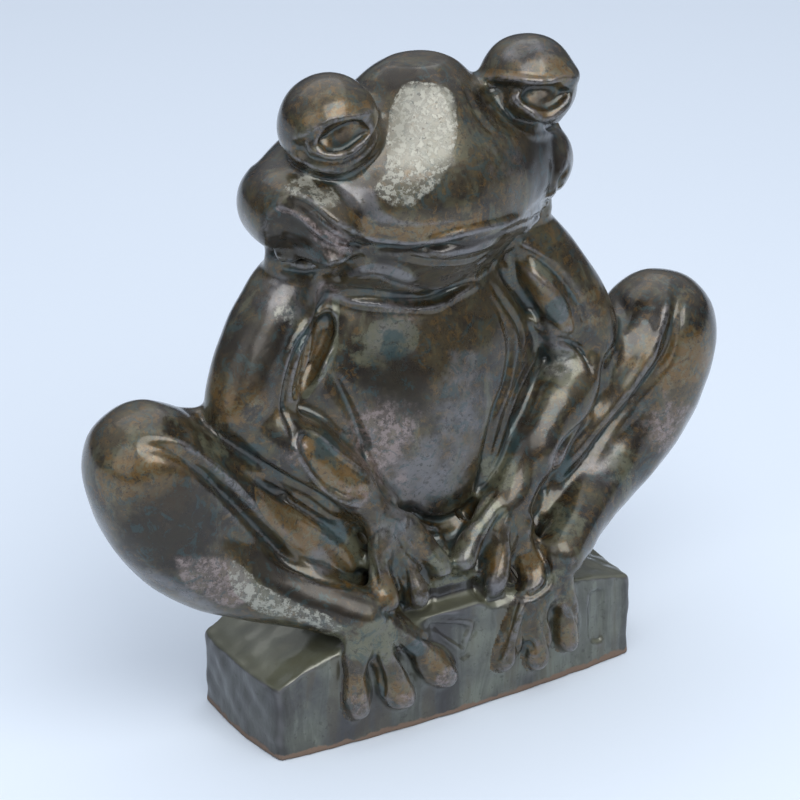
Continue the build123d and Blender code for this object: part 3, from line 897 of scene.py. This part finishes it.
# One closed piece from its faces of the skin. At each opening a lip turns inwards, and a fan shuts it.
def cutPiece(name, chosen):
    faces = clay.faces[chosen]
    used, flat = np.unique(faces, return_inverse=True)
    faces = flat.reshape(-1, 4)
    points = clay.at[used]
    normals = clay.normals[used]
    inward = broadNormals[used]
    sidesOf = np.vstack([faces[:, [k, (k + 1) % 4]] for k in range(4)])
    ordered = np.sort(sidesOf, axis=1)
    code = ordered[:, 0] * len(points) + ordered[:, 1]
    _, index, times = np.unique(code, return_index=True, return_counts=True)
    rim = sidesOf[index[times == 1]]
    # Rims that hang together share one middle point.
    group = {}

    def find(point):
        while group[point] != point:
            group[point] = group[group[point]]
            point = group[point]
        return point

    for a, b in rim.tolist():
        group.setdefault(a, a)
        group.setdefault(b, b)
        group[find(a)] = find(b)
    rings = {}
    for point in group:
        rings.setdefault(find(point), []).append(point)
    added = []
    lip = {}
    middleOf = {}
    for root, members in rings.items():
        middle = points[members].mean(0)
        size = np.linalg.norm(points[members] - middle, axis=1).mean()
        for point in members:
            lip[point] = len(points) + len(added)
            added.append(points[point] - inward[point] * min(capLip["most"], size * capLip["share"]))
        middleOf[root] = len(points) + len(added)
        added.append(middle - normals[members].mean(0) * size * capLip["depth"])
    fans = []
    for a, b in rim.tolist():
        middle = middleOf[find(a)]
        fans += [(b, a, lip[a]), (b, lip[a], lip[b]), (lip[b], lip[a], middle)]
    mesh = bpy.data.meshes.new(name)
    allPoints = np.vstack([points, added]) if added else points
    mesh.from_pydata((allPoints * metre).tolist(), [], faces.tolist() + fans)
    mesh.update()
    mesh.polygons.foreach_set("use_smooth", np.ones(len(mesh.polygons), bool))
    for title, values in shares.items():
        column = np.zeros(len(mesh.vertices), np.float32)
        column[:len(used)] = values[used]
        mesh.attributes.new(title, "FLOAT", "POINT").data.foreach_set("value", column)
    # The outer faces keep the whole skin's normals, so that no seam shows between two pieces.
    cornerNormals = np.zeros((len(mesh.loops), 3))
    corners = pull(mesh.loops, "vertex_index", 1, int)[:, 0]
    outer = len(faces) * 4
    cornerNormals[:outer] = normals[corners[:outer]]
    cornerNormals[outer:] = np.repeat(pull(mesh.polygons, "normal", 3)[len(faces):], 3, axis=0)
    mesh.normals_split_custom_set(cornerNormals.tolist())
    piece = bpy.data.objects.new(name, mesh)
    bpy.context.collection.objects.link(piece)
    return piece


# A colour as the eye sees it, 0 to 255, in the light values that shaders want
def paint(red, green, blue):
    found = []
    for part in (red, green, blue):
        part = part / 255
        found.append(part / 12.92 if part <= 0.04045 else ((part + 0.055) / 1.055) ** 2.4)
    return (*found, 1)


# One value of a shader, with its maths
class Knob:
    def __init__(self, recipe, socket):
        self.recipe = recipe
        self.socket = socket

    def maths(self, operation, other, flip=False):
        pair = (other, self) if flip else (self, other)
        return self.recipe.node("ShaderNodeMath", {"operation": operation}, {0: pair[0], 1: pair[1]})

    def __add__(self, other):
        return self.maths("ADD", other)

    def __radd__(self, other):
        return self.maths("ADD", other, True)

    def __sub__(self, other):
        return self.maths("SUBTRACT", other)

    def __rsub__(self, other):
        return self.maths("SUBTRACT", other, True)

    def __mul__(self, other):
        return self.maths("MULTIPLY", other)

    def __rmul__(self, other):
        return self.maths("MULTIPLY", other, True)

    def clamp(self):
        return self.recipe.node("ShaderNodeMath", {"operation": "ADD", "use_clamp": True}, {0: self, 1: 0})


# The nodes of a material or of the sky
class Recipe:
    def __init__(self, owner, spot="Object"):
        owner.use_nodes = True
        self.owner = owner
        self.tree = owner.node_tree
        self.tree.nodes.clear()
        self.spot = self.node("ShaderNodeTexCoord", {}, {}, spot)

    # Any node: its type, its settings, then the values or links of its sockets
    def node(self, kind, settings, inputs, output=0):
        made = self.tree.nodes.new(kind)
        for key, value in settings.items():
            setattr(made, key, value)
        for key, value in inputs.items():
            if isinstance(value, Knob):
                self.tree.links.new(value.socket, made.inputs[key])
            else:
                made.inputs[key].default_value = value
        if len(made.outputs):
            return Knob(self, made.outputs[output])

    def noise(self, scale, detail=3, roughness=0.55, stretch=(1, 1, 1), distortion=0, shift=(0, 0, 0)):
        spot = self.node("ShaderNodeMapping", {}, {"Vector": self.spot, "Scale": stretch, "Location": shift})
        grain = {"Vector": spot, "Scale": scale, "Detail": detail, "Roughness": roughness,
                 "Distortion": distortion}
        return self.node("ShaderNodeTexNoise", {}, grain, "Fac")

    # The part of a place or a direction along one axis
    def part(self, value, axis):
        return self.node("ShaderNodeSeparateXYZ", {}, {0: value}, axis)

    def between(self, value, low, high):
        return self.node("ShaderNodeMapRange", {"interpolation_type": "SMOOTHSTEP"},
                         {"Value": value, "From Min": low, "From Max": high})

    def blend(self, share, first, second):
        return self.node("ShaderNodeMix", {"data_type": "RGBA"}, {0: share, 6: first, 7: second}, 2)

    # Coats of colour, one over the other: each with its mask and its name. Most are glaze, some are painted
    # sheen and painted highlights.
    def coats(self, first, layers):
        colour = paint(*glaze[first])
        for mask, tint in layers:
            colour = self.blend(mask, colour, paint(*glaze[tint]))
        return colour

    def attribute(self, name):
        return self.node("ShaderNodeAttribute", {"attribute_name": name}, {}, "Fac")

    def finish(self, colour, roughness, metallic, coat, height, depth, coatRoughness=0.05):
        bump = self.node("ShaderNodeBump", {}, {"Strength": depth, "Distance": metre, "Height": height})
        shader = self.node("ShaderNodeBsdfPrincipled", {}, {
            "Base Color": colour, "Roughness": roughness, "Metallic": metallic, "Coat Weight": coat,
            "Coat Roughness": coatRoughness, "Normal": bump})
        self.node("ShaderNodeOutputMaterial", {}, {"Surface": shader})
        return self.owner


# The frog's glaze, with painted sheen, reflections and highlights in its lilac, silver and celadon coats
def frogGlazeAndPaintedSheen():
    mix = Recipe(bpy.data.materials.new("lustreGlazeAndPaintedSheen"))
    between = mix.between
    pooled = mix.attribute("pool")
    thin = mix.attribute("edge")
    broad = mix.noise(30, 5.0, 0.6)
    clouds = mix.noise(90, 6.0, 0.65, distortion=0.6)
    spots = mix.noise(430, 6.0, 0.75)
    flecks = mix.noise(260, 6.0, 0.75, distortion=0.8)
    greens = mix.noise(130, 5.0, 0.7, distortion=1.2, shift=(3, 5, 7))
    crystals = between(mix.noise(330, 6.0, 0.75), 0.47, 0.56)
    pinholes = between(mix.noise(520, 2.0, 0.5), 0.64, 0.7)
    runs = mix.noise(70, 5.0, 0.65, stretch=(1, 1, 0.22), distortion=0.4)
    wobble = mix.noise(110, 5.0, 0.65)
    share = {tint: mix.attribute(tint) for tint in tints}

    # A colour where its share is high, with a ragged border: glaze, and for the lilac, silver and celadon
    # shares also painted sheen and highlights
    def spread(tint, ragged=0.9, most=1.0, low=0.42, high=0.62):
        return between(share[tint] + (wobble - 0.5) * ragged, low, high) * most

    shaded = spread("dark", 1.5, 0.85, 0.25, 0.85)
    # The silver, crystalline glaze and in places a painted highlight, is whole where its share is high, and
    # only crystals where it is low.
    whole = crystals * (1.9 - share["silverAndPaintedHighlight"] * 1.2) + share["silverAndPaintedHighlight"] * 0.75 - 0.25
    silverAndPaintedHighlight = spread("silverAndPaintedHighlight", 0.9) * whole.clamp() * (1 - pinholes * 0.7)
    # The lilac, silver and celadon coats below are glaze and also painted sheen, reflections and highlights.
    colour = mix.coats("dark", [
        (between(broad, 0.4, 0.6), "brown"),
        (between(clouds, 0.45, 0.68) * 0.8, "olive"),
        (between(flecks, 0.53, 0.59) * 0.5, "amber"),
        (between(runs, 0.54, 0.62) * 0.4, "moss"),
        (spread("celadonAndPaintedSheen", 1.1, 0.8), "moss"),
        (spread("amber", 1.1, 0.75), "amber"),
        (spread("amber", 1.6) * between(flecks, 0.52, 0.44) * 0.5, "moss"),
        (spread("lilacAndPaintedSheen", 1.5, 0.8, 0.25, 1.0), "lilacAndPaintedSheen"),
        (shaded, "dark"),
        (spread("pink", 1.8, 1.0, 0.25, 0.85) * (crystals * 0.6 + 0.3), "pink"),
        (between(greens, 0.55, 0.6) * 0.55, "teal"),
        (spread("teal", 1.2, 0.8), "teal"),
        (between(spots, 0.55, 0.61) * 0.65, "dark"),
        (silverAndPaintedHighlight * 0.9, "silverAndPaintedHighlight"),
        (between(pooled, 0.35, 0.9) * between(clouds, 0.4, 0.6), "teal"),
        (between(pooled, 0.65, 1.0) * 0.7, "dark"),
        (between(thin, 0.3, 0.9) * between(flecks, 0.4, 0.58) * 0.7, "lilacAndPaintedSheen"),
    ])
    roughness = 0.27 + silverAndPaintedHighlight * 0.15 + between(clouds, 0.4, 0.7) * 0.12
    height = mix.noise(90, 1.5) + spots * 0.12 + silverAndPaintedHighlight * 0.35
    return mix.finish(colour, roughness, 0.4, 0.6 - silverAndPaintedHighlight * 0.3 - shaded * 0.45, height, 0.35, 0.12)


# The plinth's glaze, with a painted highlight on its faces that point up
def plinthGlazeAndPaintedHighlight():
    mix = Recipe(bpy.data.materials.new("plinthGlazeAndPaintedHighlight"))
    between = mix.between
    broad = mix.noise(24, 5.0, 0.6)
    streaks = mix.noise(60, 5.0, 0.65, stretch=(1, 1, 0.15), distortion=0.5)
    spots = mix.noise(380, 4.0, 0.65)
    across = mix.part(mix.spot, "X")
    ends = between(across, -0.086, -0.0925) + between(across, 0.086, 0.0925)
    # Faces that point up are painted lighter in moss: a painted highlight on the plinth's top.
    upFacingPaintedHighlight = mix.part(mix.node("ShaderNodeNewGeometry", {}, {}, "Normal"), "Z")
    bare = between(mix.part(mix.spot, "Z") + (mix.noise(150, 5.0) - 0.5) * 0.007, 0.0034, 0.0022)
    colour = mix.coats("slate", [
        (between(broad, 0.35, 0.65), "celadonAndPaintedSheen"),
        (between(streaks, 0.5, 0.62) * 0.5, "brown"),
        ((ends * 0.7).clamp(), "slate"),
        (between(streaks, 0.55, 0.42) * 0.5, "dark"),
        (between(spots, 0.56, 0.68) * 0.5, "dark"),
        (between(mix.attribute("edge"), 0.35, 1.0) * 0.6, "lilacAndPaintedSheen"),
        (between(mix.attribute("pool"), 0.4, 1.0) * 0.5, "dark"),
        (between(upFacingPaintedHighlight, 0.35, 0.7) * 0.75, "moss"),
        (bare, "clay"),
    ])
    gloss = 1 - bare
    bumps = mix.noise(120, 3.0) + spots * 0.2 + bare * 0.5
    coat = gloss * (0.6 - (ends * 0.4).clamp())
    return mix.finish(colour, 0.32 + bare * 0.5, 0.3 * gloss, coat, bumps, 0.35, 0.12)


def bareClay():
    mix = Recipe(bpy.data.materials.new("bareClay"))
    grain = mix.noise(500, 6.0, 0.7)
    colour = mix.coats("bareDark", [(mix.between(grain, 0.35, 0.65), "bareLight")])
    return mix.finish(colour, 0.75 + grain * 0.15, 0, 0, grain, 0.4)


frogFinish = frogGlazeAndPaintedSheen()
plinthFinish = plinthGlazeAndPaintedHighlight()
clayFinish = bareClay()
print("glazes mixed")


for index, name in enumerate(names):
    piece = cutPiece(name + "_glazed", np.flatnonzero(owner == index))
    piece.data.materials.append(plinthFinish if name == "plinth" else frogFinish)
    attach(piece, "root")
    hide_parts(name)
bpy.data.objects.remove(skin)
base = frame["nodes"]["plinth_floor"]
base.data.materials.clear()
base.data.materials.append(clayFinish)
print("pieces cut")


# Floor and light: the floor's size in metres, and the sky from its low to its clear colour
stage = {"floor": 6.0, "colour": (222, 232, 244), "sky": (236, 242, 252), "low": (88, 93, 101),
         "dim": 0.1, "clear": 0.75, "skyStrength": 0.78}
bpy.ops.mesh.primitive_plane_add(size=stage["floor"])
floor = bpy.context.object
floor.name = "floor"
paper = Recipe(bpy.data.materials.new("paper"))
floor.data.materials.append(paper.finish(paint(*stage["colour"]), 0.8, 0, 0, paper.noise(300), 0.02))

world = bpy.data.worlds.new("sky")
bpy.context.scene.world = world
sky = Recipe(world, "Generated")
rise = {"Value": sky.part(sky.spot, "Z"), "From Min": stage["dim"], "From Max": stage["clear"]}
clear = sky.node("ShaderNodeMapRange", {}, rise)
shade = sky.blend(clear, paint(*stage["low"]), paint(*stage["sky"]))
glow = sky.node("ShaderNodeBackground", {}, {"Color": shade, "Strength": stage["skyStrength"]})
sky.node("ShaderNodeOutputWorld", {}, {"Surface": glow})

lamps = {
    "window": {"at": (-170, -1130, 1400), "size": (1400, 1300), "power": 21, "colour": (1, 0.99, 0.97)},
    "side": {"at": (-1500, -500, 900), "size": (900, 1200), "power": 3.5, "colour": (0.93, 0.96, 1)},
    "above": {"at": (100, 600, 1750), "size": (2000, 1600), "power": 8, "colour": (0.97, 0.98, 1)},
}
for name, lamp in lamps.items():
    spot = Vector(lamp["at"]) * metre
    aim = (Vector(camera["lookAt"]) * metre - spot).to_track_quat("-Z", "Y").to_euler()
    bpy.ops.object.light_add(type="AREA", location=spot, rotation=aim)
    light = bpy.context.object
    light.name = name
    light.data.shape = "RECTANGLE"
    light.data.size = lamp["size"][0] * metre
    light.data.size_y = lamp["size"][1] * metre
    light.data.energy = lamp["power"]
    light.data.color = lamp["colour"]

bpy.context.scene.view_settings.view_transform = "Standard"
print("lit")
